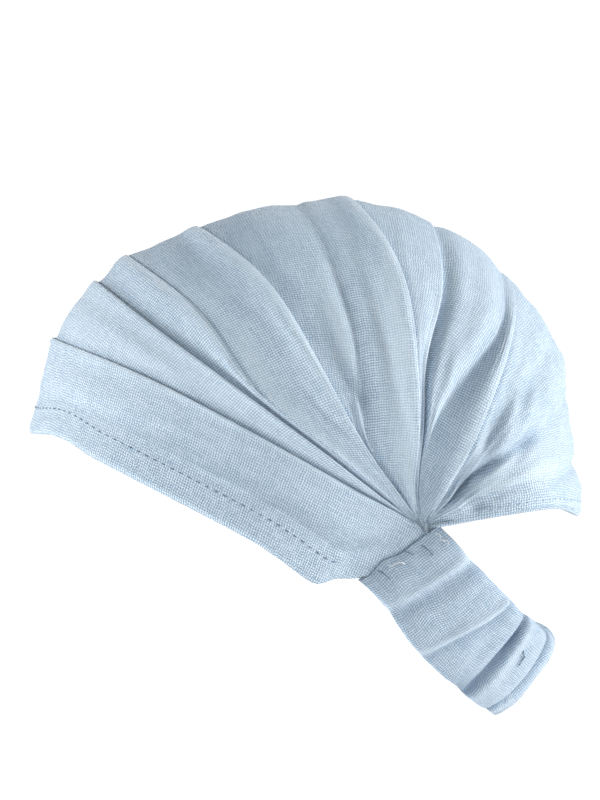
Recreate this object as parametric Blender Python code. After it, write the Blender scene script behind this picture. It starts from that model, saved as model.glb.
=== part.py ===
"""A child's elasticated head kerchief in its worn form: a pleated cloth crown, its turned-in
front and back hems, and the ruched band round the nape that its ends are tucked into and sewn to.

Metres. +X is the wearer's left, +Y the back of the head, +Z up. The origin lies midway between
the two side gathers, on the line that all the pleats fan out from. The side views below are in
Y and Z, with angles in degrees about that line from +Y (0) over the crown (90) to the front.
"""
import bmesh
import bpy
import numpy as np

MM = 0.001

# The cloth, and the clearance between neighbouring pieces.
CLOTH = 1.2 * MM
GAP = 0.3 * MM
HEM_WIDTH = 9.6 * MM
HEM_COLUMNS = 3
HEM_MOST_SHARE = 0.7

# The crown: its height above the gather line, half its greatest breadth across the head, how far
# the side gathers are pinched in towards the head, how wide that dimple is, and how square the
# arch of every rib is.
CROWN_HEIGHT = 103.0 * MM
HALF_BREADTH = 76.0 * MM
PINCH = 14.0 * MM
PINCH_REACH = 28.0 * MM
ARCH_POWER = 2.3
HALF_ROWS = 14
ROW_CROWDING = 1.25

# The pleats: the rise that the fold table's heights are shares of, how much more they rise
# halfway up the side, and where their relief starts and how soon it is full, from the gather.
PLEAT_RISE = 3.0 * MM
MID_SWELL = 0.2
RELIEF_STARTS = 4.0 * MM
RELIEF_RAMP = 24.0 * MM
STEEPEST = 4

# The gather: the pleats close up on one arc round the gather line, then on a smaller one inside
# the band's mouth.
GATHER_RADIUS = 2.5 * MM
TUCK_RADIUS = 1.0 * MM

# The band: half its width, how far its middle drifts down, how deep its ruches are, how far it
# reaches to the nape, and its slope in the side view.
BAND_HALF_WIDTH = 17.0 * MM
BAND_DRIFT = 3.4 * MM
RUCHE_DEPTH = 4.5 * MM
BAND_REACH = 66.5 * MM
BAND_SLOPE = -42.0
BAND_HALF_STATIONS = 22
SKEW_FADE = (4, 26)

# The band's mouth is a straight line in the side view. It holds the crown's end, one cloth thick,
# with this clearance, and the gather stands this far in front of it. Places in it are shares of
# the band's half width along the line, from the mouth's middle.
MOUTH_ANGLE = 34.0
MOUTH_CLEARANCE = GAP + 0.2 * MM
MOUTH_HALF_DEPTH = CLOTH / 2 + MOUTH_CLEARANCE + CLOTH
MOUTH_X = HALF_BREADTH - PINCH - CLOTH / 2
GATHER_STANDOFF = 2.1 * MM
GATHER_PLACE = 0.65
HEM_PLACE = -0.83
HEM_TUCK_PLACE = -0.69
HEM_TUCK_DEPTH = 6.0 * MM
TUCK_PLACE = 0.61
TUCK_DEPTH = 1.7 * MM

# The front hem's middle, as an angle about the gather line, and how far its corner hangs at most.
HEM_ANGLE = 167.3
HEM_HANG = 7.0 * MM

# Crown outline over the middle of the head. angle: degrees about the gather line;
# radius: share of the crown height.
OUTLINE = (
    # angle, radius
    (0.0, 0.577),
    (10.0, 0.588),
    (20.0, 0.594),
    (30.0, 0.627),
    (40.0, 0.693),
    (50.0, 0.757),
    (60.0, 0.821),
    (70.0, 0.887),
    (80.0, 0.950),
    (90.0, 1.002),
    (100.0, 1.049),
    (110.0, 1.097),
    (120.0, 1.142),
    (130.0, 1.192),
    (140.0, 1.266),
    (150.0, 1.297),
    (160.0, 1.295),
    (170.0, 1.278),
)

# How the front hem hangs below its straight chord. place: share of the chord from the band;
# drop: share of the hang.
HEM_DROP = (
    # place, drop
    (0.00, 0.00),
    (0.03, 0.23),
    (0.07, 0.49),
    (0.11, 1.00),
    (0.14, 0.97),
    (0.20, 0.71),
    (0.30, 0.34),
    (0.42, 0.11),
    (0.60, -0.13),
    (0.80, -0.37),
    (0.95, -0.50),
    (1.00, -0.07),
)

# Fold lines in the side view, at five stations from the gather to the crown. Each row is the
# panel in front of its line: the line's five angles in degrees, then the panel's height at its
# front edge, middle and back edge as shares of the pleat rise, and the share of the next panel
# that the step down to it takes.
STATIONS = (0.0, 0.25, 0.5, 0.75, 1.0)
FOLDS = (
    # panel, angles, front, middle, back, step
    ("brow_band", (151.5, 150.9, 150.8, 151.4, 153.2), 0.00, 0.33, 0.43, 0.07),
    ("pleat_1", (146.0, 143.4, 143.2, 143.2, 142.8), -0.20, 0.43, 0.77, 0.09),
    ("pleat_2", (141.5, 140.6, 141.2, 136.2, 137.0), -0.27, 0.30, 0.83, 0.055),
    ("pleat_3", (128.0, 126.8, 123.1, 122.1, 126.0), -0.20, 0.40, 1.00, 0.03),
    ("soft_ridge", (127.0, 125.3, 112.5, 109.2, 109.4), -0.30, -0.05, 0.55, 0.15),
    ("pleat_4", (113.0, 96.0, 93.4, 94.6, 100.5), 0.30, 0.70, 1.50, 0.08),
    ("hollow_1", (107.0, 93.0, 90.4, 85.1, 85.4), -0.40, 0.17, -0.30, 0.25),
    ("soft_fold", (101.0, 90.2, 77.8, 68.9, 70.0), 0.33, 0.57, -0.40, 0.25),
    ("pleat_5", (82.0, 69.0, 66.3, 65.6, 67.6), -0.33, 0.30, 0.80, 0.04),
    ("hollow_2", (70.0, 56.0, 39.5, 37.5, 35.5), -0.13, 0.20, -0.40, 0.12),
    ("back_panel", (52.0, 34.0, 27.0, 19.0, 17.0), 0.27, 0.40, 0.10, 0.18),
    ("back_lip", (40.0, 13.4, 10.3, 7.8, 0.6), -0.20, 0.17, 0.20, 0.0),
)
PANEL_COLUMNS = (4, 4, 4, 4, 3, 4, 4, 4, 3, 5, 4, 2)

# The band's section all round. across: share of its half width; through: share of its depth.
SECTION = (
    # across, through
    (-1.00, 0.00),
    (-0.95, 0.62),
    (-0.80, 0.95),
    (-0.42, 1.00),
    (0.00, 1.00),
    (0.42, 1.00),
    (0.80, 0.95),
    (0.95, 0.62),
    (1.00, 0.00),
    (0.95, -0.62),
    (0.80, -0.95),
    (0.00, -1.00),
    (-0.80, -0.95),
    (-0.95, -0.62),
)

# Ruches of the band from its mouth to the middle of the nape, mirrored on the other side. turn:
# degrees round the nape; width: share of the half width; drift: share of the band's drift; outer
# and inner: shares of the ruche depth beyond the mouth's own depth.
BAND_FOLDS = (
    # turn, width, drift, outer, inner
    (0.0, 0.94, 0.00, 0.00, 0.00),
    (4.0, 0.93, 0.15, 0.02, 0.00),
    (10.5, 0.94, 0.35, 0.38, 0.16),
    (16.0, 1.01, 0.59, 0.16, 0.07),
    (22.0, 1.07, 0.76, 0.24, 0.11),
    (28.0, 1.08, 0.88, 0.73, 0.20),
    (31.5, 1.07, 0.94, 0.36, 0.11),
    (38.0, 1.07, 1.00, 0.60, 0.20),
    (44.0, 1.02, 1.00, 0.16, 0.07),
    (50.0, 1.04, 0.94, 0.87, 0.20),
    (58.0, 1.02, 0.91, 0.91, 0.24),
    (67.0, 0.96, 0.88, 0.20, 0.07),
    (75.0, 0.99, 0.85, 0.91, 0.24),
    (82.0, 0.96, 0.85, 0.73, 0.11),
    (90.0, 0.99, 0.85, 1.00, 0.20),
)


def clear_scene():
    for thing in list(bpy.data.objects):
        bpy.data.objects.remove(thing)


def eased(table, column, at):
    """One column of a table, read at the given positions along a smooth cubic curve."""
    rows = np.array([(row[0], row[column]) for row in table], float)
    place, value = rows[:, 0], rows[:, 1]
    slope = np.gradient(value, place)
    at = np.clip(at, place[0], place[-1])
    left = np.clip(np.searchsorted(place, at, side="right") - 1, 0, len(place) - 2)
    step = place[left + 1] - place[left]
    part = (at - place[left]) / step
    start = (1 + 2 * part) * (1 - part) ** 2 * value[left]
    end = part**2 * (3 - 2 * part) * value[left + 1]
    leaving = part * (1 - part) ** 2 * step * slope[left]
    arriving = part**2 * (part - 1) * step * slope[left + 1]
    return start + end + leaving + arriving


def ramp(value, start, length):
    part = np.clip((value - start) / length, 0, 1)
    return part * part * (3 - 2 * part)


def heading(degrees):
    """The side-view direction of an angle, with Y and Z on the last axis."""
    turn = np.radians(degrees)
    return np.stack([np.cos(turn), np.sin(turn)], -1)


def crown_radius(degrees):
    return eased(OUTLINE, 1, degrees) * CROWN_HEIGHT


def mouth_point(place, depth):
    """A side-view point in the band's mouth, placed from the gather, which is the origin."""
    along, inward = heading(MOUTH_ANGLE), heading(MOUTH_ANGLE - 90)
    middle = inward * GATHER_STANDOFF - along * GATHER_PLACE * BAND_HALF_WIDTH
    return middle + along * place * BAND_HALF_WIDTH + inward * depth


def row_shares():
    """Turns of the arch from the gather (0) to the crown (90), and each one's share of the rib."""
    turns = 90 * (np.arange(HALF_ROWS + 1) / HALF_ROWS) ** ROW_CROWDING
    return turns, np.sin(np.radians(turns)) ** (2 / ARCH_POWER)


def fold_line(index, shares):
    table = tuple(zip(STATIONS, FOLDS[index][1]))
    return eased(table, 1, shares)


def fan_line(degrees, shares):
    """A rib of the fan in the side view, from the gather's arc out to the crown outline."""
    reach = crown_radius(degrees[-1])
    radius = GATHER_RADIUS + (reach - GATHER_RADIUS) * shares
    return heading(degrees) * radius[:, None]


def hem_line(shares):
    start = mouth_point(HEM_PLACE, 0)
    chord = heading(HEM_ANGLE) * crown_radius(HEM_ANGLE) - start
    down = np.array([-chord[1], chord[0]]) / np.hypot(*chord)
    drop = eased(HEM_DROP, 1, shares) * HEM_HANG
    return start + chord * shares[:, None] + down * drop[:, None]


def quadratic(front, middle, back, part):
    bow = 4 * middle - 2 * front - 2 * back
    return front + (back - front) * part + bow * part * (1 - part)


def panel_lines(index, shares):
    """The side-view lines and heights of one panel's columns, front to back."""
    front, middle, back = (FOLDS[index][column] * PLEAT_RISE for column in (2, 3, 4))
    step = FOLDS[index - 1][5]
    parts = np.linspace(0, 1, PANEL_COLUMNS[index] + 1)
    before, own = fold_line(index - 1, shares), fold_line(index, shares)
    lines, heights = [], []
    for part in parts:
        share = step + (1 - step) * part
        lines.append(fan_line(before + (own - before) * share, shares))
        heights.append(quadratic(front, middle, back, part) * np.ones_like(shares))
    narrow = np.radians(before - own) * (GATHER_RADIUS + crown_radius(own[-1]) * shares)
    tall = max(abs(front), abs(middle), abs(back)) * STEEPEST
    limit = np.clip(narrow / tall, 0, 1)
    return lines, [height * limit for height in heights]


def spaced_from(edge, inner):
    """Lines at fixed distances from an edge, closed up where an inner line comes near it."""
    across = inner - edge
    width = np.linalg.norm(across, axis=1)[:, None]
    hem = np.minimum(HEM_WIDTH / width, HEM_MOST_SHARE)
    return [edge + across * hem * part for part in np.linspace(0, 1, HEM_COLUMNS + 1)]


def crown_plan(shares):
    """Every column of the crown in the side view with its height, from front hem to back hem."""
    crest = fan_line(fold_line(0, shares), shares)
    lines = spaced_from(hem_line(shares), crest)
    heights = [np.zeros_like(shares)] * len(lines)
    inside = lines[-1]
    front, middle, back = (FOLDS[0][column] * PLEAT_RISE for column in (2, 3, 4))
    for part in np.linspace(0, 1, PANEL_COLUMNS[0] + 1)[1:]:
        lines.append(inside + (crest - inside) * part)
        heights.append(quadratic(front, middle, back, part) * np.ones_like(shares))
    for index in range(1, len(FOLDS) - 1):
        more, tall = panel_lines(index, shares)
        lines += more
        heights += tall
    more, tall = panel_lines(len(FOLDS) - 1, shares)
    first, rise = more[0], tall[-1]
    strip = spaced_from(more[-1], first)[::-1]
    for part in (0.0, 0.5):
        lines.append(first + (strip[0] - first) * part)
        heights.append(tall[0] + (rise - tall[0]) * part)
    lines += strip
    heights += [rise] * len(strip)
    return np.stack(lines, 1), np.stack(heights, 1)


def tuck_row(first_row):
    """The crown's end inside the band: the hem corner, the brow band and the closed-up pleats."""
    brow = HEM_COLUMNS + PANEL_COLUMNS[0] + 1
    directions = first_row[brow - 1 :] / np.linalg.norm(first_row[brow - 1 :], axis=1)[:, None]
    arc = mouth_point(TUCK_PLACE, TUCK_DEPTH) + directions * TUCK_RADIUS
    corner = mouth_point(HEM_TUCK_PLACE, HEM_TUCK_DEPTH)
    parts = np.linspace(0, 1, brow)[:, None]
    return np.concatenate([corner + (arc[0] - corner) * parts, arc[1:]])


def crown_surface():
    """The unfolded fan as points and outward normals, and the height of its folds."""
    turns, shares = row_shares()
    plan, heights = crown_plan(shares)
    plan = np.concatenate([tuck_row(plan[0])[None], plan])
    distance = np.linalg.norm(plan - plan[1], axis=2)
    distance[0] = 0
    arch = HALF_BREADTH * np.cos(np.radians(turns)).clip(0) ** (2 / ARCH_POWER)
    arch = np.concatenate([arch[:1], arch])[:, None]
    across = arch - PINCH * np.exp(-((distance / PINCH_REACH) ** 2)) * (arch > 0)
    fade = 1 + MID_SWELL * np.sin(np.pi * np.concatenate([[0], shares]))[:, None]
    gather = np.linalg.norm(plan, axis=2)
    heights = np.concatenate([heights[:1] * 0, heights]) * fade
    heights = heights * ramp(gather, RELIEF_STARTS, RELIEF_RAMP)
    half = np.concatenate([across[:, :, None], plan], axis=2)
    half[-1, :, 0] = 0
    other = half[-2::-1] * np.array([-1, 1, 1])
    points = np.concatenate([half, other])
    along = np.gradient(points, axis=0)
    over = np.gradient(points, axis=1)
    normals = np.cross(over, along)
    normals /= np.linalg.norm(normals, axis=2)[:, :, None]
    if (normals[len(points) // 2, :, 2]).sum() < 0:
        normals = -normals
    return points, normals, np.concatenate([heights, heights[-2::-1]])


def underside(points, heights):
    """Heights of the inner face, a whole cloth's thickness from the outer one along every row."""
    steps = np.linalg.norm(np.diff(points, axis=1), axis=2)
    place = np.concatenate([np.zeros((len(points), 1)), np.cumsum(steps, axis=1)], axis=1)
    lower = np.full_like(heights, np.inf)
    for shift in np.linspace(-CLOTH, CLOTH, 17):
        depth = np.sqrt(CLOTH**2 - shift**2)
        for row, (at, height) in enumerate(zip(place, heights)):
            found = np.interp(at + shift, at, height) - depth
            lower[row] = np.minimum(lower[row], found)
    return lower


def shell_object(name, outer, inner, closed_round, material):
    """A closed wall between two grids of points. closed_round joins each row's two ends."""
    rows, columns = outer.shape[:2]
    body = bmesh.new()
    skins = [[[body.verts.new(p) for p in row] for row in grid] for grid in (outer, inner)]
    spans = columns if closed_round else columns - 1
    for skin in skins:
        for i in range(rows - 1):
            for j in range(spans):
                k = (j + 1) % columns
                body.faces.new((skin[i][j], skin[i][k], skin[i + 1][k], skin[i + 1][j]))
    for i in (0, rows - 1):
        for j in range(spans):
            k = (j + 1) % columns
            body.faces.new((skins[0][i][j], skins[0][i][k], skins[1][i][k], skins[1][i][j]))
    if not closed_round:
        for j in (0, columns - 1):
            for i in range(rows - 1):
                ring = (skins[0][i][j], skins[0][i + 1][j], skins[1][i + 1][j], skins[1][i][j])
                body.faces.new(ring)
    bmesh.ops.recalc_face_normals(body, faces=body.faces)
    mesh = bpy.data.meshes.new(name)
    body.to_mesh(mesh)
    body.free()
    mesh.polygons.foreach_set("use_smooth", [True] * len(mesh.polygons))
    mesh.materials.append(material)
    thing = bpy.data.objects.new(name, mesh)
    bpy.context.scene.collection.objects.link(thing)
    return thing


def cloth_material(name, colour, roughness):
    material = bpy.data.materials.new(name)
    material.use_nodes = True
    shader = material.node_tree.nodes["Principled BSDF"]
    shader.inputs["Base Color"].default_value = (*colour, 1)
    shader.inputs["Roughness"].default_value = roughness
    shader.inputs["Metallic"].default_value = 0
    return material


def make_crown_cloth(surface):
    points, normals, heights = surface
    outer = points + normals * heights[:, :, None]
    inner = points + normals * underside(points, heights)[:, :, None]
    material = cloth_material("crown_cotton", (0.41, 0.56, 0.71), 0.9)
    return shell_object("crown_cloth", outer, inner, False, material)


def make_hem(name, surface, columns, colour):
    """The turned-in layer under one edge of the crown, clear of the band at both ends."""
    points, normals, heights = surface
    rows = slice(3, -3)
    top = underside(points, heights)[rows, columns] - GAP
    points, normals = points[rows, columns], normals[rows, columns]
    outer = points + normals * top[:, :, None]
    inner = points + normals * (top - CLOTH)[:, :, None]
    return shell_object(name, outer, inner, False, cloth_material(name + "_cotton", colour, 0.9))


def band_grid(inset):
    """Points of the band's outer face, or of a face the given inset inside it."""
    half = np.linspace(0, 90, BAND_HALF_STATIONS + 1)
    turns = np.concatenate([half, 180 - half[-2::-1]])
    mirrored = np.minimum(turns, 180 - turns)
    width = eased(BAND_FOLDS, 1, mirrored) * BAND_HALF_WIDTH
    drift = eased(BAND_FOLDS, 2, mirrored) * BAND_DRIFT
    rise = MOUTH_HALF_DEPTH + eased(BAND_FOLDS, 3, mirrored) * RUCHE_DEPTH
    sink = MOUTH_HALF_DEPTH + eased(BAND_FOLDS, 4, mirrored) * RUCHE_DEPTH
    turn = np.radians(turns)
    away, level = heading(BAND_SLOPE), heading(BAND_SLOPE + 90)
    reach = BAND_REACH * np.sin(turn)
    tangent = np.stack([-MOUTH_X * np.sin(turn), BAND_REACH * np.cos(turn)], -1)
    tangent /= np.linalg.norm(tangent, axis=1)[:, None]
    outward = np.stack([tangent[:, 1], -tangent[:, 0]], -1)
    skew = np.tan(np.radians(MOUTH_ANGLE - BAND_SLOPE - 90)) * (1 - ramp(mirrored, *SKEW_FADE))
    grid = []
    for across, through in SECTION:
        side = across * (width - inset)
        deep = through * (np.where(through > 0, rise, sink) - inset)
        slide = -side * skew * np.sign(np.cos(turn) + 1e-9)
        x = MOUTH_X * np.cos(turn) + outward[:, 0] * deep + tangent[:, 0] * slide
        run = reach + outward[:, 1] * deep + tangent[:, 1] * slide
        plane = mouth_point(0, 0) + away * run[:, None] + level * (side - drift)[:, None]
        grid.append(np.concatenate([x[:, None], plane], axis=1))
    return np.stack(grid, 1)


def make_nape_band():
    material = cloth_material("band_cotton", (0.43, 0.58, 0.73), 0.9)
    return shell_object("nape_band", band_grid(0), band_grid(CLOTH), True, material)


def build():
    clear_scene()
    surface = crown_surface()
    make_crown_cloth(surface)
    make_hem("front_hem", surface, slice(0, HEM_COLUMNS + 1), (0.40, 0.55, 0.70))
    make_hem("back_hem", surface, slice(-HEM_COLUMNS - 1, None), (0.42, 0.57, 0.72))
    make_nape_band()


build()
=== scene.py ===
"""A child's elasticated head kerchief of pale blue muslin: a crown pleated into a gather at each
side, hems turned in at the brow and the nape, and a ruched elastic band round the nape.
"""
import bmesh
import bpy
import numpy as np
from mathutils import Matrix, Vector
from mathutils.bvhtree import BVHTree


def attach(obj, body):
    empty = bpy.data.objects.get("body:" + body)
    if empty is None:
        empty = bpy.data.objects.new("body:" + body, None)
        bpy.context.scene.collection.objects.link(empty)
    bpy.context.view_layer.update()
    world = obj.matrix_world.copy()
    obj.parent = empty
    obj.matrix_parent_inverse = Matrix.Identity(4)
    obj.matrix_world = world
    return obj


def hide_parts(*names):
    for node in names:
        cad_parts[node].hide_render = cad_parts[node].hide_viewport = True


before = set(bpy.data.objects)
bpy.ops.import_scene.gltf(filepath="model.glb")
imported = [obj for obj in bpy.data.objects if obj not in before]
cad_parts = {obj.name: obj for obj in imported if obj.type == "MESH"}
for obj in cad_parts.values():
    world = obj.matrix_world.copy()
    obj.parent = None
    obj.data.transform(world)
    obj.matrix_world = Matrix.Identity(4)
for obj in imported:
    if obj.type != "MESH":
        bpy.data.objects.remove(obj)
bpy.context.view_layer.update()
MM = 0.001

# Camera, lights and floor. The kerchief is seen from its left side, a little from the front and
# from just above its gathers, on a white floor that runs into white, in broad studio light.
CAMERA_PLACE = (1.0429, -0.10932, 0.07614)
CAMERA_AIM = (-0.00391, -0.03612, 0.03949)
CAMERA_LENS = 136.08
CAMERA_REACH = 50.0
FLOOR_HEIGHT = -0.60
FLOOR_HALF = 6.0
FLOOR_GLOW = 0.28
FLOOR_TONE = 0.95
FLOOR_ROUGHNESS = 0.9
SKY_BACKDROP = 0.85
SKY_CAMERA_SIDE = 0.48
SKY_TOP = 0.27
SKY_SEEN = 1.05
SKY_DIMS_ACROSS = (-0.6, 0.9)
LAMPS = (
    # name, place, half size, watts
    ("front_window", (0.15, -1.39, 0.26), 0.30, 15.0),
    ("back_window", (0.24, 1.27, 0.55), 0.30, 21.5),
    ("camera_fill", (1.65, 0.10, -0.35), 0.35, 4.5),
)

camera = bpy.data.objects.new("camera", bpy.data.cameras.new("camera"))
camera.data.lens = CAMERA_LENS
camera.data.clip_end = CAMERA_REACH
camera.location = CAMERA_PLACE
aim = Vector(CAMERA_AIM) - Vector(CAMERA_PLACE)
camera.rotation_euler = aim.to_track_quat("-Z", "Y").to_euler()
bpy.context.scene.collection.objects.link(camera)
bpy.context.scene.camera = camera
bpy.context.scene.view_settings.view_transform = "Standard"

for name, place, half, watts in LAMPS:
    lamp = bpy.data.lights.new(name, "AREA")
    lamp.shape = "DISK"
    lamp.size = 2 * half
    lamp.energy = watts
    holder = bpy.data.objects.new(name, lamp)
    holder.location = place
    holder.rotation_euler = (Vector(CAMERA_AIM) - Vector(place)).to_track_quat("-Z", "Y").to_euler()
    bpy.context.scene.collection.objects.link(holder)


def remap(tree, source, **limits):
    """A Map Range node that reads a socket, with the limits that aren't 0 to 1."""
    made = tree.nodes.new("ShaderNodeMapRange")
    for key, value in limits.items():
        made.inputs[key.replace("_", " ").title()].default_value = value
    tree.links.new(source, made.inputs["Value"])
    return made


world = bpy.data.worlds.new("studio")
bpy.context.scene.world = world
world.use_nodes = True
tree = world.node_tree
direction = tree.nodes.new("ShaderNodeTexCoord")
compass = tree.nodes.new("ShaderNodeSeparateXYZ")
tree.links.new(direction.outputs["Generated"], compass.inputs[0])
nearer = remap(
    tree, compass.outputs["X"], from_min=SKY_DIMS_ACROSS[0], from_max=SKY_DIMS_ACROSS[1],
    to_min=SKY_BACKDROP, to_max=SKY_CAMERA_SIDE,
)
higher = remap(tree, compass.outputs["Z"], to_min=1.0, to_max=SKY_TOP)
dimmer = tree.nodes.new("ShaderNodeMath")
dimmer.operation = "MULTIPLY"
tree.links.new(nearer.outputs["Result"], dimmer.inputs[0])
tree.links.new(higher.outputs["Result"], dimmer.inputs[1])
seen = tree.nodes.new("ShaderNodeLightPath")
strength = remap(tree, seen.outputs["Is Camera Ray"], to_max=SKY_SEEN)
tree.links.new(dimmer.outputs[0], strength.inputs["To Min"])
tree.nodes["Background"].inputs["Color"].default_value = (1, 1, 1, 1)
tree.links.new(strength.outputs["Result"], tree.nodes["Background"].inputs["Strength"])

bm = bmesh.new()
bmesh.ops.create_grid(bm, x_segments=1, y_segments=1, size=FLOOR_HALF)
bmesh.ops.translate(bm, verts=bm.verts, vec=(0, 0, FLOOR_HEIGHT))
floor_mesh = bpy.data.meshes.new("floor")
bm.to_mesh(floor_mesh)
bm.free()
floor = bpy.data.objects.new("floor", floor_mesh)
bpy.context.scene.collection.objects.link(floor)
paint = bpy.data.materials.new("floor_paint")
paint.use_nodes = True
tree = paint.node_tree
surface = tree.nodes["Principled BSDF"]
surface.inputs["Base Color"].default_value = (FLOOR_TONE, FLOOR_TONE, FLOOR_TONE, 1)
surface.inputs["Roughness"].default_value = FLOOR_ROUGHNESS
surface.inputs["Emission Color"].default_value = (1, 1, 1, 1)
seen = tree.nodes.new("ShaderNodeLightPath")
glow = remap(tree, seen.outputs["Is Camera Ray"], to_min=FLOOR_GLOW)
tree.links.new(glow.outputs["Result"], surface.inputs["Emission Strength"])
floor_mesh.materials.append(paint)

# The crown: one rectangle of soft cotton muslin, laid in deep pleats that all run into a gather at
# each side, where the cloth's end is sewn into the band. Each pleat's edge is rolled over a tuck.
CLOTH = 0.6 * MM
CAD_CLOTH = 1.2 * MM
CROWN_HEIGHT = 103.0 * MM
HALF_BREADTH = 76.0 * MM
PINCH = 14.0 * MM
PINCH_REACH = 28.0 * MM
ARCH_POWER = 2.3
HALF_ROWS = 77
ROW_CROWDING = 1.25
MID_SWELL = 0.2
RELIEF_STARTS = 0.5 * MM
RELIEF_RAMP = 11.0 * MM
STEEPEST = 1.5
RELIEF = 1.02
TUCK_LEAD = 1.12
DEEPEST_TUCK = 2.4
TUCK_MOST_SHARE = 0.35
TUCK_BEGIN = 0.5
THREADS_CHANGE = 0.7
LIP_ENDS = 0.62
GATHER_RADIUS = 2.5 * MM
TUCK_RADIUS = 1.0 * MM
BAND_HALF_WIDTH = 17.0 * MM
MOUTH_ANGLE = 34.0
MOUTH_CLEARANCE = 0.5 * MM
MOUTH_HALF_DEPTH = CAD_CLOTH / 2 + MOUTH_CLEARANCE + CAD_CLOTH
MOUTH_X = HALF_BREADTH - PINCH - CAD_CLOTH / 2
GATHER_STANDOFF = 2.1 * MM
GATHER_PLACE = 0.65
HEM_PLACE = -0.83
HEM_TUCK_PLACE = -0.69
HEM_TUCK_DEPTH = 6.0 * MM
TUCK_PLACE = 0.61
TUCK_DEPTH = 1.7 * MM
HEM_ANGLE = 167.3
HEM_HANG = 7.0 * MM
HEM_CURL = ((-0.9, -0.75), (-0.35, -0.62), (0.0, -0.3), (0.35, -0.05), (1.0, 0.0))
HEM_MOST_SHARES = (0.72, 0.85)
CURL_MOST_SHARES = (0.1, 0.06)
HEM_STEPS = (2.0, 3.6, 5.4, 6.8, 7.6, 8.0, 8.4, 9.2, 10.4, 12.0)
OUTLINE = (
    # angle, share of the crown height
    (0.0, 0.577), (10.0, 0.588), (20.0, 0.594), (30.0, 0.627), (40.0, 0.693), (50.0, 0.757),
    (60.0, 0.821), (70.0, 0.887), (80.0, 0.950), (90.0, 1.002), (100.0, 1.049), (110.0, 1.097),
    (120.0, 1.142), (130.0, 1.192), (140.0, 1.266), (150.0, 1.297), (160.0, 1.295), (170.0, 1.278),
)
HEM_DROP = (
    # place along the hem, share of the hang
    (0.00, 0.00), (0.03, 0.23), (0.07, 0.49), (0.11, 1.00), (0.14, 0.97), (0.20, 0.71),
    (0.30, 0.34), (0.42, 0.11), (0.60, -0.13), (0.80, -0.37), (0.95, -0.50), (1.00, -0.07),
)
STATIONS = (0.0, 0.25, 0.5, 0.75, 1.0)
FOLDS = (
    # panel, angles of its back edge, tuck (mm) or 0 for a soft fold, columns
    ("brow_band", (151.5, 150.9, 150.8, 151.4, 153.2), 1.4, 24),
    ("pleat_1", (146.0, 143.4, 143.2, 143.2, 142.8), 1.5, 12),
    ("pleat_2", (141.5, 140.6, 141.2, 136.2, 137.0), 2.0, 11),
    ("pleat_3", (128.0, 126.8, 123.1, 122.1, 126.0), 2.4, 18),
    ("soft_ridge", (127.0, 125.3, 112.5, 109.2, 109.4), 0.0, 16),
    ("pleat_4", (113.0, 96.0, 93.4, 94.6, 100.5), 2.4, 18),
    ("hollow_1", (107.0, 93.0, 90.4, 85.1, 85.4), 1.2, 13),
    ("soft_fold", (101.0, 90.2, 77.8, 68.9, 70.0), 0.0, 18),
    ("pleat_5", (60.0, 61.0, 63.2, 64.2, 66.6), 2.0, 14),
    ("hollow_2", (46.0, 48.0, 42.5, 38.5, 37.0), 0.0, 28),
    ("back_panel", (32.0, 31.0, 26.5, 20.0, 18.0), 0.0, 18),
    ("back_lip", (11.0, 11.2, 10.3, 7.8, 0.6), 0.0, 14),
)
# How much softer each fold's tuck gets over the crown, where it then loses width and overhang.
SOFTER_ABOVE = (0, 0.3, 0, 0, 0, 0, 0.5, 0, 0.85, 0, 0)
SOFTER_WIDTH = 0.5
SOFTER_OVERHANG = 1.2
OVER_CROWN = (0.55, 0.4)
EASE_IN = 0.4
PARTS = (0.0, 0.15, 0.45, 0.8, 1.0)
SWELLS = (
    # heights (mm) from the front to the back of each panel: at the side, then over the crown
    ((0.0, 0.4, 0.9, 1.1, 1.5), (0.0, 0.4, 0.8, 1.0, 1.3)),
    ((-0.2, 0.1, 0.9, 1.5, 2.0), (0.0, 0.4, 1.1, 1.4, 1.5)),
    ((-0.2, -0.4, 0.2, 1.7, 2.3), (-0.1, -0.2, 0.6, 1.8, 2.1)),
    ((2.0, 1.6, 1.5, 2.0, 2.7), (1.2, 0.7, 0.8, 1.4, 1.9)),
    ((0.5, 0.2, 0.3, 1.0, -0.2), (0.5, 0.1, 0.3, 0.8, -0.1)),
    ((-0.3, 0.8, 0.5, 1.8, 2.8), (-0.2, 0.5, 0.2, 1.4, 2.3)),
    ((2.3, 2.4, 2.1, 1.6, 1.0), (0.9, 1.1, 1.1, 1.0, 0.7)),
    ((-1.6, 1.0, 1.9, 1.7, -1.2), (-0.8, 0.5, 0.9, 0.8, -0.4)),
    ((-1.6, -2.0, -0.4, 2.0, 2.6), (-0.5, -0.5, -0.1, 0.3, 0.4)),
    ((0.8, 0.6, 1.0, 0.6, -2.2), (0.4, 0.4, 0.5, 0.4, -0.9)),
    ((-2.2, 0.2, 2.0, 2.6, 2.2), (-0.9, 0.3, 1.2, 1.1, -0.2)),
    ((2.2, 2.3, 2.2, 2.0, 1.8), (-0.2, 0.7, 1.0, 1.0, 1.0)),
)
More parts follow.
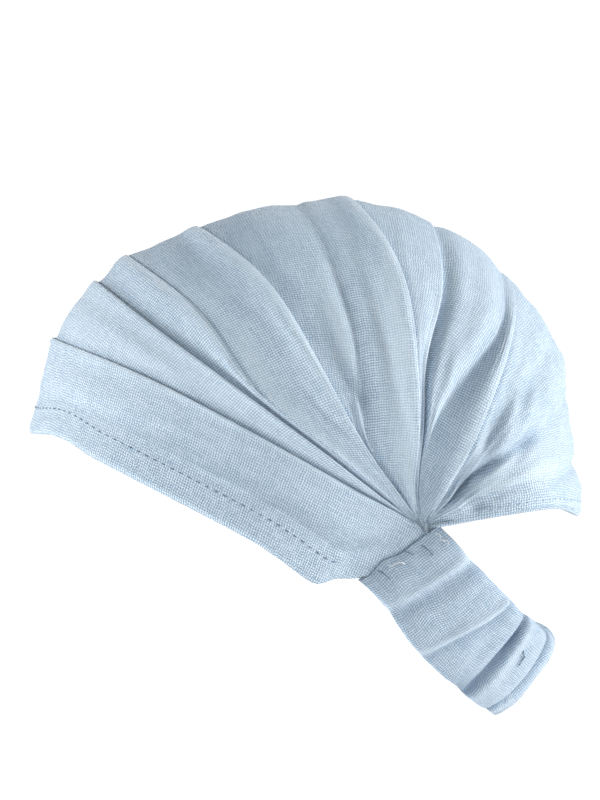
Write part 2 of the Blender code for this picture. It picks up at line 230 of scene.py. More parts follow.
PANEL_PAINTED_LIGHT = (
    # painted light (below 0, painted shade) from the front to the back of each panel: side, then crown
    ((-0.5, -0.4, 0.0, 0.1, 0.0), (0.0, 0.15, 0.15, 0.1, 0.0)),
    ((0.2, 0.3, 0.4, 0.3, 0.2), (0.1, 0.4, 0.5, 0.4, 0.3)),
    ((-0.1, 0.0, 0.1, 0.2, 0.3), (-0.3, -0.3, -0.2, 0.0, 0.4)),
    ((0.6, 0.6, 0.1, 0.0, 0.2), (0.1, -0.25, -0.4, -0.25, 0.5)),
    ((-0.2, -0.1, 0.5, 0.9, 0.4), (-0.6, -0.6, -0.35, -0.15, -0.1)),
    ((-0.2, -0.1, 0.4, 1.0, 0.8), (-0.35, -0.3, -0.15, -0.3, 0.5)),
    ((0.1, 0.2, 0.2, 0.1, 0.0), (0.0, 0.1, 0.1, 0.0, 0.0)),
    ((-0.2, 0.1, 0.3, 0.3, -0.1), (-0.1, 0.0, 0.2, 0.2, -0.2)),
    ((-0.2, -0.1, 0.1, 0.2, 0.3), (-0.3, -0.1, 0.1, 0.2, 0.2)),
    ((0.1, 0.1, -0.1, -0.3, -0.4), (0.0, 0.0, 0.0, 0.0, -0.1)),
    ((-0.3, 0.3, 0.8, 0.9, 0.7), (-0.1, 0.0, 0.1, 0.0, -0.15)),
    ((0.3, 0.2, 0.1, 0.0, 0.0), (-0.15, -0.1, 0.0, 0.0, 0.0)),
)
TUCK = (
    # shift as a share of the tuck, height (0 at the crest, 1 at the next panel), painted highlight
    # (below 0, painted shade)
    (-1.00, 0.0, 0.3), (-0.70, 0.0, 0.7), (-0.42, 0.02, 1.0), (-0.20, 0.08, 1.0), (-0.05, 0.18, 1.0),
    (0.0, 0.30, 0.9), (0.0, 0.44, 0.4), (-0.06, 0.58, -0.2), (-0.14, 0.72, -0.7), (-0.12, 0.86, -0.7),
    (0.10, 0.96, -0.5), (0.45, 1.0, -0.2),
)


def eased(table, column, at):
    """One column of a table, read at the given positions along a smooth cubic curve."""
    rows = np.array([(row[0], row[column]) for row in table], float)
    place, value = rows[:, 0], rows[:, 1]
    slope = np.gradient(value, place)
    at = np.clip(at, place[0], place[-1])
    left = np.clip(np.searchsorted(place, at, side="right") - 1, 0, len(place) - 2)
    step = place[left + 1] - place[left]
    part = (at - place[left]) / step
    start = (1 + 2 * part) * (1 - part) ** 2 * value[left]
    end = part**2 * (3 - 2 * part) * value[left + 1]
    leaving = part * (1 - part) ** 2 * step * slope[left]
    arriving = part**2 * (part - 1) * step * slope[left + 1]
    return start + end + leaving + arriving


def ramp(value, start, length):
    """A smooth step from 0 to 1."""
    part = np.clip((value - start) / length, 0, 1)
    return part * part * (3 - 2 * part)


def heading(degrees):
    turn = np.radians(degrees)
    return np.stack([np.cos(turn), np.sin(turn)], -1)


def crumple(across, along, seed):
    """Smooth unevenness between -1 and 1, one lump for each unit both ways."""
    lattice = np.random.default_rng(seed).uniform(-1, 1, (64, 64))
    a, b = np.floor(across).astype(int), np.floor(along).astype(int)
    p, q = ramp(across - a, 0, 1), ramp(along - b, 0, 1)
    near = lattice[a % 64, b % 64] * (1 - p) + lattice[(a + 1) % 64, b % 64] * p
    far = lattice[a % 64, (b + 1) % 64] * (1 - p) + lattice[(a + 1) % 64, (b + 1) % 64] * p
    return near * (1 - q) + far * q


def other_half(rows):
    """The rows again after the last one, in turn, for the other half of the head."""
    return np.concatenate([rows, rows[-2::-1]])


def crown_radius(degrees):
    return eased(OUTLINE, 1, degrees) * CROWN_HEIGHT


def mouth_point(place, depth):
    """A point of the side view at the band's mouth: a share of its half width, and how far in."""
    along, inward = heading(MOUTH_ANGLE), heading(MOUTH_ANGLE - 90)
    middle = inward * GATHER_STANDOFF - along * GATHER_PLACE * BAND_HALF_WIDTH
    return middle + along * place * BAND_HALF_WIDTH + inward * depth


turns = 90 * (np.arange(HALF_ROWS + 1) / HALF_ROWS) ** ROW_CROWDING
shares = np.sin(np.radians(turns)) ** (2 / ARCH_POWER)
swell = 1 + MID_SWELL * np.sin(np.pi * shares)


def fold_line(index):
    """A panel's back edge: its fan angle at every row."""
    return eased(tuple(zip(STATIONS, FOLDS[index][1])), 1, shares)


def fan_line(degrees):
    """The side-view points of a rib with the given fan angles."""
    reach = crown_radius(degrees[-1])
    radius = GATHER_RADIUS + (reach - GATHER_RADIUS) * shares
    return heading(degrees) * radius[:, None]


over_crown = ramp(shares, *OVER_CROWN)


def swell_at(index, part):
    """A panel's height at one part of its width, all along its rib."""
    side, top = (eased(tuple(zip(PARTS, row)), 1, part) for row in SWELLS[index])
    return (side + (top - side) * over_crown) * RELIEF * MM


def panel_painted_light(index, part):
    """Painted light and shade on a panel at one part of its width, all along its rib."""
    side, top = (eased(tuple(zip(PARTS, row)), 1, part) for row in PANEL_PAINTED_LIGHT[index])
    return side + (top - side) * over_crown


chord_start = mouth_point(HEM_PLACE, 0)
chord = heading(HEM_ANGLE) * crown_radius(HEM_ANGLE) - chord_start
chord_down = np.array([-chord[1], chord[0]]) / np.hypot(*chord)
hem_drop = eased(HEM_DROP, 1, shares) * HEM_HANG
hem_line = chord_start + chord * shares[:, None] + chord_down * hem_drop[:, None]

# Each column of the crown: its side-view line, its height, the panel whose threads it follows,
# and its painted highlight and shade.
crown_lines, crown_heights, crown_panels, crown_painted_light = [], [], [], []


def add_column(line, height, panel, painted_light=0.0):
    crown_lines.append(line)
    crown_heights.append(height * np.ones_like(shares))
    crown_panels.append(panel)
    crown_painted_light.append(painted_light * np.ones_like(shares))


fold_lines = [fold_line(index) for index in range(len(FOLDS))]
widths = [np.linalg.norm(fan_line(fold_lines[0]) - hem_line, axis=1)]
for before, own in zip(fold_lines, fold_lines[1:]):
    widths.append(np.radians(before - own) * (GATHER_RADIUS + crown_radius(own[-1]) * shares))
tucks = []
for index, softer in enumerate(SOFTER_ABOVE):
    tuck = FOLDS[index][2] * MM * (1 - SOFTER_WIDTH * softer * over_crown)
    tucks.append(np.minimum(tuck, TUCK_MOST_SHARE * np.minimum(widths[index], widths[index + 1])))
tucks.append(0 * shares)


def body_parts(index):
    """Where a panel's columns lie, as shares of its width; a tuck brings its last one."""
    parts = np.linspace(0, 1, FOLDS[index][3] + 1)[1:]
    return parts[:-1] if FOLDS[index][2] else parts


crest = fan_line(fold_lines[0])
for shift, height in HEM_CURL:
    part = np.minimum(shift * MM / widths[0], CURL_MOST_SHARES[0])
    add_column(hem_line + (crest - hem_line) * part[:, None], height * MM, 0)
for distance in HEM_STEPS:
    part = np.minimum(distance * MM / widths[0], HEM_MOST_SHARES[0] * distance / HEM_STEPS[-1])
    add_column(hem_line + (crest - hem_line) * part[:, None], 0, 0)
hem_inside = crown_lines[-1]
finish = 1 - TUCK_LEAD * tucks[0] / np.linalg.norm(crest - hem_inside, axis=1)
for part in body_parts(0):
    place = part * finish
    add_column(
        hem_inside + (crest - hem_inside) * place[:, None], swell_at(0, part), 0, panel_painted_light(0, part)
    )
brow_columns = len(crown_lines)

past_limit = 1.0
for index in range(1, len(FOLDS)):
    before, own = fold_lines[index - 1], fold_lines[index]
    width, tuck = widths[index], tucks[index - 1]
    limit = np.clip(width / (np.abs(SWELLS[index]).max() * MM * STEEPEST), 0, 1)
    pleated = FOLDS[index - 1][2] > 0
    if pleated:
        last, first = swell_at(index - 1, 1.0) * past_limit, swell_at(index, 0.0) * limit
        softer = SOFTER_ABOVE[index - 1]
        opened = np.minimum(SOFTER_OVERHANG * softer, 1) * over_crown
        evenly = np.linspace(TUCK[0][0], TUCK[-1][0], len(TUCK))
        for (shift, share, painted_light), even in zip(TUCK, evenly):
            shift = shift + (even - shift) * opened
            angle = before - (before - own) * shift * tuck / width
            height = last + (first - last) * share
            # A deeper tuck gets deeper painted shade under its crest, and the painted light fades where
            # the tuck softens over the crown.
            painted_light *= 1 if painted_light > 0 else FOLDS[index - 1][2] / DEEPEST_TUCK
            painted_light *= 1 - softer * over_crown
            add_column(fan_line(angle), height, index - (share < THREADS_CHANGE), painted_light)
    begin = TUCK_BEGIN * tuck / width
    finish = 1 - TUCK_LEAD * tucks[index] / width
    for part in body_parts(index):
        if index == len(FOLDS) - 1 and part > LIP_ENDS:
            break
        angle = before + (own - before) * (begin + (finish - begin) * part)
        ease = 1.0 if pleated else min(1.0, part / EASE_IN)
        soft = past_limit + (limit - past_limit) * ease
        add_column(fan_line(angle), swell_at(index, part) * soft, index, panel_painted_light(index, part))
    past_limit = limit
lip_height = swell_at(len(FOLDS) - 1, 1.0) * limit
hem_start, back_edge = crown_lines[-1], fan_line(own)
back_width = np.linalg.norm(back_edge - hem_start, axis=1)
for distance in HEM_STEPS[::-1]:
    part = np.minimum(distance * MM / back_width, HEM_MOST_SHARES[1] * distance / HEM_STEPS[-1])
    add_column(back_edge + (hem_start - back_edge) * part[:, None], lip_height, len(FOLDS) - 1)
for shift, height in HEM_CURL[::-1]:
    part = np.minimum(shift * MM / back_width, CURL_MOST_SHARES[1])
    add_column(
        back_edge + (hem_start - back_edge) * part[:, None],
        lip_height + height * MM,
        len(FOLDS) - 1,
    )

plan = np.stack(crown_lines, 1)
heights = np.stack(crown_heights, 1)
hem_columns = len(HEM_CURL) + len(HEM_STEPS)

# The crown's end inside the band: the hem corner, the brow band and the closed-up pleats.
directions = plan[0, brow_columns - 1:]
directions = directions / np.linalg.norm(directions, axis=1)[:, None]
arc = mouth_point(TUCK_PLACE, TUCK_DEPTH) + directions * TUCK_RADIUS
corner = mouth_point(HEM_TUCK_PLACE, HEM_TUCK_DEPTH)
parts = np.linspace(0, 1, brow_columns)[:, None]
tuck_row = np.concatenate([corner + (arc[0] - corner) * parts, arc[1:]])
plan = np.concatenate([tuck_row[None], plan])

distance = np.linalg.norm(plan - plan[1], axis=2)
distance[0] = 0
arch = HALF_BREADTH * np.cos(np.radians(turns)).clip(0) ** (2 / ARCH_POWER)
arch = np.concatenate([arch[:1], arch])[:, None]
across = arch - PINCH * np.exp(-((distance / PINCH_REACH) ** 2)) * (arch > 0)
reach = other_half(np.linalg.norm(plan, axis=2))
heights = np.concatenate([heights[:1] * 0, heights * swell[:, None]])
curled = np.zeros(plan.shape[1], bool)
curled[:len(HEM_CURL)] = curled[-len(HEM_CURL):] = True
emerging = ramp(distance, RELIEF_STARTS, RELIEF_RAMP)
heights = np.where(curled, heights, heights * emerging)
emerging = other_half(emerging)
half = np.concatenate([across[:, :, None], plan], axis=2)
half[-1, :, 0] = 0
crown_points = np.concatenate([half, half[-2::-1] * np.array([-1, 1, 1])])
heights = other_half(heights)

# Outward directions come from the smooth fan alone, so that a tuck doesn't turn them over.
spin = np.stack([np.zeros_like(across), plan[:, :, 1], -plan[:, :, 0]], -1)
outward = np.cross(other_half(spin), np.gradient(crown_points, axis=0))
outward /= np.linalg.norm(outward, axis=2)[:, :, None] + 1e-12
if outward[len(outward) // 2, :, 2].sum() < 0:
    outward = -outward
rows, columns = crown_points.shape[:2]


def run_length(points, axis):
    """How far each point of a grid lies along its row or column of cloth."""
    steps = np.linalg.norm(np.diff(points, axis=axis), axis=2)
    start = np.zeros_like(np.take(steps, [0], axis=axis))
    return np.concatenate([start, np.cumsum(steps, axis=axis)], axis=axis)


crown_along = run_length(crown_points, 0)
crown_along = crown_along - crown_along[rows // 2]
crown_across = run_length(crown_points, 1)
panel_of = np.array(crown_panels)
crest_column = np.array([np.flatnonzero(panel_of == index)[-1] for index in range(len(FOLDS))])

fan_turn = np.degrees(np.unwrap(np.arctan2(plan[:, :, 1], plan[:, :, 0]) % (2 * np.pi)))
fan_turn[0] = fan_turn[1]
fan_turn = other_half(fan_turn)
along_rib = other_half(np.concatenate([shares[:1], shares]))[:, None]
over = other_half(np.concatenate([over_crown[:1], over_crown]))[:, None]


def between(start, fade_in, end, fade_out):
    """1 between two fan angles, fading to 0 inside them."""
    return ramp(fan_turn, start, fade_in) * ramp(end - fan_turn, 0, fade_out)


# The cloth's unevenness: small wrinkles everywhere, more where it is crushed, a pocket beside the
# fourth pleat, and cloth that bunches up next to the gathers.
NEAR_GATHER = 30 * MM
MID_PLEATS = (90, 6, 136, 8)
BROW_PLEATS = (141, 3, 154, 3)
BACK_PANEL = (16, 10, 66, 12)
BACK_ROLL = (32, 9)
BACK_ROLL_CALM = 0.75
CALMER_OVER = (0.6, 0.3)
BY_GATHER = (6, 10, 66, 12)
rumpled = between(*BACK_PANEL) * (1 - BACK_ROLL_CALM * (1 - ramp(fan_turn, *BACK_ROLL)))
ZONES = {
    "all": 1.0,
    "mid_pleats": between(*MID_PLEATS),
    "gather": np.exp(-((reach / NEAR_GATHER) ** 2)),
    "brow_pleats": between(*BROW_PLEATS),
    "back": rumpled * (1 - CALMER_OVER[0] * over),
    "back_fine": rumpled * (1 - CALMER_OVER[1] * over),
}
WRINKLES = (
    # height (mm), degrees wide, length (mm), start, seed, zone
    (0.36, 3.1, 42, 0, 3, "all"), (0.55, 4.3, 55, 2, 19, "mid_pleats"), (0.42, 7.0, 34, 7, 5, "all"),
    (0.14, 1.8, 22, 3, 8, "all"), (0.30, 2.6, 60, 0, 9, "gather"),
    (0.55, 2.6, 30, 5, 13, "brow_pleats"), (1.5, 6.5, 10, 0, 11, "back"),
    (0.5, 2.4, 6, 0, 17, "back_fine"),
)
POCKET = (117.5, 2.2, 0.44, 0.055)
POCKET_DEPTH = 1.1
BUNCHES = (
    # distance from the gather (mm), spread (mm), height (mm)
    (12, 4, 1.8), (19.5, 4.5, -2.2),
)
FRONT_LIFT = (1.1, 86, 12)
BACK_DROP = (1.0, 50, 15)
HEM_CALM = 0.25
wrinkle = np.zeros_like(fan_turn)
for height, wide, long, start, seed, zone in WRINKLES:
    lumps = crumple(fan_turn / wide, crown_along / (long * MM) + start, seed)
    wrinkle += height * lumps * ZONES[zone]
    if zone == "back":
        rumple = lumps * rumpled
angle, angle_spread, share, share_spread = POCKET
pocket = np.exp(-(((fan_turn - angle) / angle_spread) ** 2) - ((along_rib - share) / share_spread) ** 2)
wrinkle -= POCKET_DEPTH * pocket
for middle, spread, height in BUNCHES:
    wrinkle += height * np.exp(-(((reach / MM - middle) / spread) ** 2)) * between(*BY_GATHER)
wrinkle *= emerging
calm = np.ones(columns)
calm[:hem_columns] = calm[-hem_columns:] = HEM_CALM
lift = FRONT_LIFT[0] * ramp(fan_turn, *FRONT_LIFT[1:])
lift -= BACK_DROP[0] * ramp(BACK_DROP[1] - fan_turn, 0, BACK_DROP[2])
heights = heights + (wrinkle * calm + lift * over) * MM
crown_points = crown_points + outward * heights[:, :, None]


def crest_offset(across, own, row):
    """How far each panel's crest lies across the crown; 0 for a sheet without pleats."""
    return across[row, crest_column[own]] if across.shape[1] == columns else 0 * row


def cloth_grid(name, points, across, along, panels, painted_light=None):
    """A mesh laid out as one grid, with its thread lengths in metres as its UV map."""
    rows, columns = points.shape[:2]
    bm = bmesh.new()
    bmesh.ops.create_grid(bm, x_segments=rows - 1, y_segments=columns - 1, size=1)
    place = np.array([vert.co[:2] for vert in bm.verts])
    i = np.rint((place[:, 0] + 1) / 2 * (rows - 1)).astype(int)
    j = np.rint((place[:, 1] + 1) / 2 * (columns - 1)).astype(int)
    for vert, a, b in zip(bm.verts, i, j):
        vert.co = points[a, b]
    mesh = bpy.data.meshes.new(name)
    bm.to_mesh(mesh)
    bm.free()
    corner = np.empty(len(mesh.loops), int)
    mesh.loops.foreach_get("vertex_index", corner)
    ci, cj = i[corner], j[corner]
    quad_j = np.repeat(cj.reshape(-1, 4).min(axis=1), 4)
    own = np.asarray(panels)[np.minimum(quad_j + 1, columns - 1)]
    uv = np.stack([across[ci, cj] - crest_offset(across, own, ci), along[ci, cj]], -1)
    layer = mesh.uv_layers.new(name="threads")
    layer.data.foreach_set("uv", uv.ravel().astype(np.float32))
    # The painted highlight (above 0) and painted shade (below 0) that the muslin mixes into its colour.
    if painted_light is not None:
        pale = mesh.attributes.new("painted_light", "FLOAT", "POINT")
        pale.data.foreach_set("value", painted_light[i, j].astype(np.float32))
    mesh.polygons.foreach_set("use_smooth", [True] * len(mesh.polygons))
    piece = bpy.data.objects.new(name, mesh)
    bpy.context.scene.collection.objects.link(piece)
    return piece


def thicken(piece, thickness):
    wall = piece.modifiers.new("cloth", "SOLIDIFY")
    wall.thickness = thickness
    wall.offset = -1


THREAD_PITCH = 0.85 * MM
THREAD_DEPTH = 0.3 * MM
THREAD_WANDER = 5.0
THREAD_CROSSING = 0.25
THREAD_SPREAD = 7.31
TONE_CHANGES = 0.14 / THREAD_PITCH
THREAD_SEEDS = (3.7, 8.2)
MIDDLE_TONE = 0.5
TONE_WEIGHTS = (
    # middle value and weight of the slubs, the weave, the weft's ribs, the cloud and the speckle
    (0.5, 2.7), (0.68, 2.3), (0.64, 1.1), (0.5, 0.18), (0.5, 1.3),
)
# Tones and shares of the painted highlight on crests and ridges and of the painted shade in tucks and
# hollows.
PAINTED_HIGHLIGHT_TONE = (0.68, 0.79, 0.88)
PAINTED_HIGHLIGHT_SHARE = 0.65
PAINTED_SHADE_TONE = (0.13, 0.20, 0.30)
PAINTED_SHADE_SHARE = -0.75


def muslin(name, colour, pale):
    """Plain woven cotton: two sets of threads crossing over and under, each a little uneven."""
    material = bpy.data.materials.new(name)
    material.use_nodes = True
    nodes, links = material.node_tree.nodes, material.node_tree.links
    shader = nodes["Principled BSDF"]

    def node(kind, **settings):
        made = nodes.new(kind)
        for key, value in settings.items():
            setattr(made, key, value)
        return made

    def maths(operation, a, b=None, c=None):
        made = node("ShaderNodeMath", operation=operation)
        for slot, value in enumerate((a, b, c)):
            if value is None:
                continue
            if isinstance(value, (int, float)):
                made.inputs[slot].default_value = value
            else:
                links.new(value, made.inputs[slot])
        return made.outputs[0]

    def patches(scale, detail, source, roughness=0.5):
        mapping = node("ShaderNodeMapping")
        mapping.inputs["Scale"].default_value = scale
        links.new(source, mapping.inputs["Vector"])
        made = node("ShaderNodeTexNoise")
        made.inputs["Scale"].default_value = 1
        made.inputs["Detail"].default_value = detail
        made.inputs["Roughness"].default_value = roughness
        links.new(mapping.outputs[0], made.inputs["Vector"])
        return made.outputs["Fac"]

    def woven(warp, weft, over):
        """The warp's value where the warp lies on top, and the weft's value elsewhere."""
        under = maths("MULTIPLY", weft, maths("SUBTRACT", 1, over))
        return maths("ADD", maths("MULTIPLY", warp, over), under)

    def blended(factor, a, b):
        made = node("ShaderNodeMix", data_type="RGBA", clamp_factor=True)
        links.new(factor, made.inputs["Factor"])
        for slot, value in (("A", a), ("B", b)):
            if isinstance(value, tuple):
                made.inputs[slot].default_value = (*value, 1)
            else:
                links.new(value, made.inputs[slot])
        return made.outputs["Result"]

    def thread_phase(along, wander):
        steady = maths("MULTIPLY", along, np.pi / THREAD_PITCH)
        return maths("ADD", steady, maths("MULTIPLY", wander, THREAD_WANDER))

    def thread_tones(phase, along, seed):
        """A tone for every thread, which changes slowly along it."""
        thread = maths("FLOOR", maths("DIVIDE", phase, np.pi))
        spot = node("ShaderNodeCombineXYZ")
        links.new(maths("MULTIPLY", thread, THREAD_SPREAD), spot.inputs[0])
        links.new(maths("MULTIPLY", along, TONE_CHANGES), spot.inputs[1])
        spot.inputs[2].default_value = seed
        return patches((1, 1, 1), 2, spot.outputs[0])

    uv = node("ShaderNodeUVMap", uv_map="threads").outputs[0]
    place = node("ShaderNodeTexCoord").outputs["Object"]
    apart = node("ShaderNodeSeparateXYZ")
    links.new(uv, apart.inputs[0])
    u = thread_phase(apart.outputs[0], patches((90, 260, 1), 2, uv))
    v = thread_phase(apart.outputs[1], patches((260, 90, 1), 2, uv))
    sin_u, sin_v = maths("SINE", u), maths("SINE", v)
    crossing = maths("MULTIPLY", sin_u, sin_v)
    over = remap(material.node_tree, crossing, from_min=-THREAD_CROSSING, from_max=THREAD_CROSSING)
    over = over.outputs["Result"]
    weft = maths("ABSOLUTE", sin_v)
    weave = woven(maths("ABSOLUTE", sin_u), weft, over)
    warp_tones = thread_tones(u, apart.outputs[1], THREAD_SEEDS[0])
    weft_tones = thread_tones(v, apart.outputs[0], THREAD_SEEDS[1])
    slubs = woven(warp_tones, weft_tones, over)
    cloud = patches((45, 45, 45), 3, place)
    crinkle = patches((230, 230, 230), 3, place, 0.6)
    speckle = patches((900, 900, 900), 2, place, 0.6)

    tone = MIDDLE_TONE
    for part, (middle, weight) in zip((slubs, weave, weft, cloud, speckle), TONE_WEIGHTS):
        tone = maths("MULTIPLY_ADD", maths("SUBTRACT", part, middle), weight, tone)
    # Painted light: the colour turns paler where the attribute is above 0 (painted highlight) and
    # darker where it is below 0 (painted shade).
    painted_light = node("ShaderNodeAttribute", attribute_name="painted_light").outputs["Fac"]
    base = blended(tone, colour, pale)
    base = blended(maths("MULTIPLY", painted_light, PAINTED_HIGHLIGHT_SHARE), base, PAINTED_HIGHLIGHT_TONE)
    base = blended(maths("MULTIPLY", painted_light, PAINTED_SHADE_SHARE), base, PAINTED_SHADE_TONE)
    links.new(base, shader.inputs["Base Color"])

    fine = node("ShaderNodeBump")
    fine.inputs["Strength"].default_value = 0.6
    fine.inputs["Distance"].default_value = THREAD_DEPTH
    links.new(maths("ADD", weave, maths("MULTIPLY", slubs, 1.2)), fine.inputs["Height"])
    soft = node("ShaderNodeBump")
    soft.inputs["Strength"].default_value = 0.5
    soft.inputs["Distance"].default_value = 0.5 * MM
    links.new(crinkle, soft.inputs["Height"])
    links.new(soft.outputs[0], fine.inputs["Normal"])
    links.new(fine.outputs[0], shader.inputs["Normal"])
    links.new(maths("MULTIPLY_ADD", weave, -0.08, 0.95), shader.inputs["Roughness"])
    shader.inputs["Specular IOR Level"].default_value = 0.2
    shader.inputs["Sheen Weight"].default_value = 0.25
    shader.inputs["Sheen Roughness"].default_value = 0.6
    shader.inputs["Sheen Tint"].default_value = (0.9, 0.95, 1.0, 1)
    return material


HEAD_MIDDLE = Vector((0, -0.03, 0.02))


def face_out(piece):
    """Turn a sheet's faces away from the middle of the head."""
    mesh = piece.data
    bm = bmesh.new()
    bm.from_mesh(mesh)
    bm.normal_update()
    facing = 0
    for face in bm.faces:
        facing += (face.calc_center_median() - HEAD_MIDDLE).dot(face.normal) * face.calc_area()
    if facing < 0:
        bmesh.ops.reverse_faces(bm, faces=bm.faces)
    bm.to_mesh(mesh)
    bm.free()


# The crown's painted light and shade: from the tucks and panels, a little uneven, then painted
# highlight on the back's wrinkles and painted shade in their hollows, and painted shade in the pocket.
PAINTED_LIGHT_EVEN = 0.75
PAINTED_LIGHT_LUMPS = 15 * MM
RUMPLE_PAINTED_SHADE = 0.3
POCKET_SHADE = 0.6
crown_painted_shading = np.stack(crown_painted_light, 1)
crown_painted_shading = other_half(np.concatenate([crown_painted_shading[:1], crown_painted_shading])) * emerging
crown_painted_shading *= PAINTED_LIGHT_EVEN + (1 - PAINTED_LIGHT_EVEN) * crumple(fan_turn, crown_along / PAINTED_LIGHT_LUMPS, 31)
crown_painted_shading += RUMPLE_PAINTED_SHADE * rumple * (1 - over) - POCKET_SHADE * pocket
crown = cloth_grid(
    "crown_cloth_sheet", crown_points, crown_across, crown_along, crown_panels, crown_painted_shading
)
face_out(crown)
CROWN_TONES = ((0.27, 0.39, 0.52), (0.65, 0.76, 0.85))
crown.data.materials.append(muslin("crown_muslin", *CROWN_TONES))
thicken(crown, CLOTH)
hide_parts("crown_cloth")
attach(crown, "root")

# The hems: the muslin is turned in once at the brow and once at the nape, and the turned layer
# lies flat under the edge.
HEM_LAYER_GAP = 0.12 * MM
HEM_LAYER_INSET = 4
HEM_LAYER_REACH = hem_columns + 2
for name, edge in (
    ("front_hem", slice(HEM_LAYER_INSET, HEM_LAYER_REACH)),
    ("back_hem", slice(-HEM_LAYER_REACH, -HEM_LAYER_INSET)),
):
    strip = crown_points[:, edge] - outward[:, edge] * (CLOTH + HEM_LAYER_GAP)
    strip = strip[HEM_LAYER_INSET:-HEM_LAYER_INSET]
    piece = cloth_grid(
        name + "_layer", strip, run_length(strip, 1), run_length(strip, 0), [0] * strip.shape[1]
    )
    face_out(piece)
    piece.data.materials.append(muslin(name + "_muslin", *CROWN_TONES))
    thicken(piece, CLOTH)
    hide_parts(name)
    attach(piece, "root")

# The nape band: a flat tube of the same muslin, sewn to the crown's gathers at both ends, and
# ruched by the elastic inside it.
BAND_DRIFT = 3.4 * MM
RUCHE_DEPTH = 4.5 * MM
MOUTH_FLUSH = 1.3 * MM
MOUTH_CLOSES = 0.06
RIGHT_SIDE_HIGHER = 0.65
# The band's tones are a darker copy of the crown's muslin: painted shade over the whole band.
BAND_TONES_PAINTED_SHADE = ((0.23, 0.34, 0.46), (0.56, 0.66, 0.76))
BAND_REACH = 66.5 * MM
BAND_TILT = 1.9 * MM
MOUTH_WAVE = 1.1 * MM
BAND_SLOPE = -42.0
BAND_STATIONS = 120
BAND_ROUND = 96
SKEW_FADE = (4, 26)
RIGHT_SIDE_STARTS = (120, 20)
WRINKLES_START = (1, 9)
MOUTH_OPENS = (0, 7)
MOUTH_SPREAD = 5
TILT_STARTS = (30, 60)
SECTION = (
    # turn, across, through
    (0, -1.00, 0.00), (1, -0.97, 0.36), (2, -0.80, 0.63), (3, -0.48, 0.89), (4, 0.00, 1.00),
    (5, 0.55, 0.93), (6, 0.87, 0.68), (7, 0.97, 0.36), (8, 1.00, 0.00), (9, 0.96, -0.50),
    (10, 0.82, -0.80), (11, 0.00, -1.00), (12, -0.82, -0.80), (13, -0.96, -0.50), (14, -1.00, 0.00),
)
BAND_EDGES = (
    # turn, width, drift, inner
    (0.0, 0.94, 0.00, 0.00), (4.0, 0.92, 0.10, 0.00), (10.5, 0.90, 0.35, 0.16),
    (16.0, 0.94, 0.75, 0.07), (22.0, 0.98, 1.05, 0.11), (28.0, 1.00, 1.15, 0.20),
    (31.5, 1.00, 1.20, 0.11), (38.0, 1.00, 1.25, 0.20), (44.0, 0.97, 1.25, 0.07),
    (50.0, 1.00, 1.20, 0.20), (58.0, 1.00, 1.15, 0.24), (67.0, 0.97, 1.05, 0.07),
    (75.0, 1.00, 0.90, 0.24), (82.0, 1.03, 0.80, 0.11), (90.0, 1.04, 0.75, 0.20),
)
RUCHES = (
    # turn, outer height, painted highlight (below 0, painted shade)
    (0.0, 0.0, -0.2), (4.0, 0.02, 0.0), (8.0, 0.14, 0.0), (10.2, 0.18, 0.2), (11.8, 0.38, 0.7),
    (13.4, 0.14, -0.15), (20.0, 0.18, 0.0), (25.0, 0.28, 0.0), (27.6, 0.40, 0.2), (29.6, 0.70, 0.8),
    (31.6, 0.12, -0.45), (34.0, 0.22, -0.25), (38.0, 0.36, 0.0), (41.0, 0.50, -0.05),
    (43.2, 0.46, -0.3), (45.2, 0.10, -0.9), (46.9, -0.45, -1.3), (47.9, 0.05, -1.2),
    (49.2, 0.60, -0.1), (50.5, 0.74, 0.5), (53.0, 0.82, 0.1), (57.0, 0.88, 0.0), (61.5, 0.82, 0.0),
    (64.8, 0.55, -0.2), (67.2, 0.05, -0.8), (68.8, -0.40, -1.3), (69.9, 0.10, -1.1),
    (71.6, 0.72, 0.2), (75.0, 0.92, 0.1), (78.0, 0.76, -0.2), (79.8, 0.15, -0.7), (81.4, 0.74, 0.0),
    (84.5, 0.92, 0.0), (90.0, 0.72, 0.0),
)
RUCHE_LEAN = (
    # turn, degrees that the ruche's upper edge leads by
    (0.0, 0.0), (13.9, 1.7), (24.0, 4.5), (32.8, 6.2), (41.0, 2.5), (49.3, -1.6), (59.0, 0.0),
    (68.8, 1.9), (80.0, 0.0), (90.0, 0.0),
)
BAND_WRINKLES = (
    # share of a ruche's depth, degrees wide, lumps across, start, seed, what it runs along
    (0.07, 3.1, 1.3, 9, 21, "ruches"), (0.14, 6.5, 1.1, 3, 22, "band"),
    (0.05, 2.3, 2.1, 5, 23, "band"),
)
RIGHT_SHIFT = 3
INNER_SHARE = 0.6
band_turns = np.linspace(0, 180, 2 * BAND_STATIONS + 1)[:, None]
mirrored = np.minimum(band_turns, 180 - band_turns)
around = np.linspace(0, 14, BAND_ROUND + 1)[None]
band_across = eased(SECTION, 1, around)
through = eased(SECTION, 2, around)
width = eased(BAND_EDGES, 1, mirrored) * BAND_HALF_WIDTH
drift = eased(BAND_EDGES, 2, mirrored) * BAND_DRIFT
drift *= 1 - RIGHT_SIDE_HIGHER * ramp(band_turns, *RIGHT_SIDE_STARTS)
leaning = mirrored - eased(RUCHE_LEAN, 1, mirrored) * band_across
runs = {"ruches": leaning + RIGHT_SHIFT * (band_turns > 90), "band": band_turns}
fine = np.zeros_like(leaning)
for height, wide, lumps, start, seed, run in BAND_WRINKLES:
    fine += crumple(runs[run] / wide, band_across * lumps + start, seed) * height
fine *= ramp(mirrored, *WRINKLES_START)
mouth = MOUTH_FLUSH + (MOUTH_HALF_DEPTH - MOUTH_FLUSH) * ramp(mirrored, *MOUTH_OPENS)
rise = mouth + (eased(RUCHES, 1, np.clip(leaning, 0, 90)) + fine) * RUCHE_DEPTH
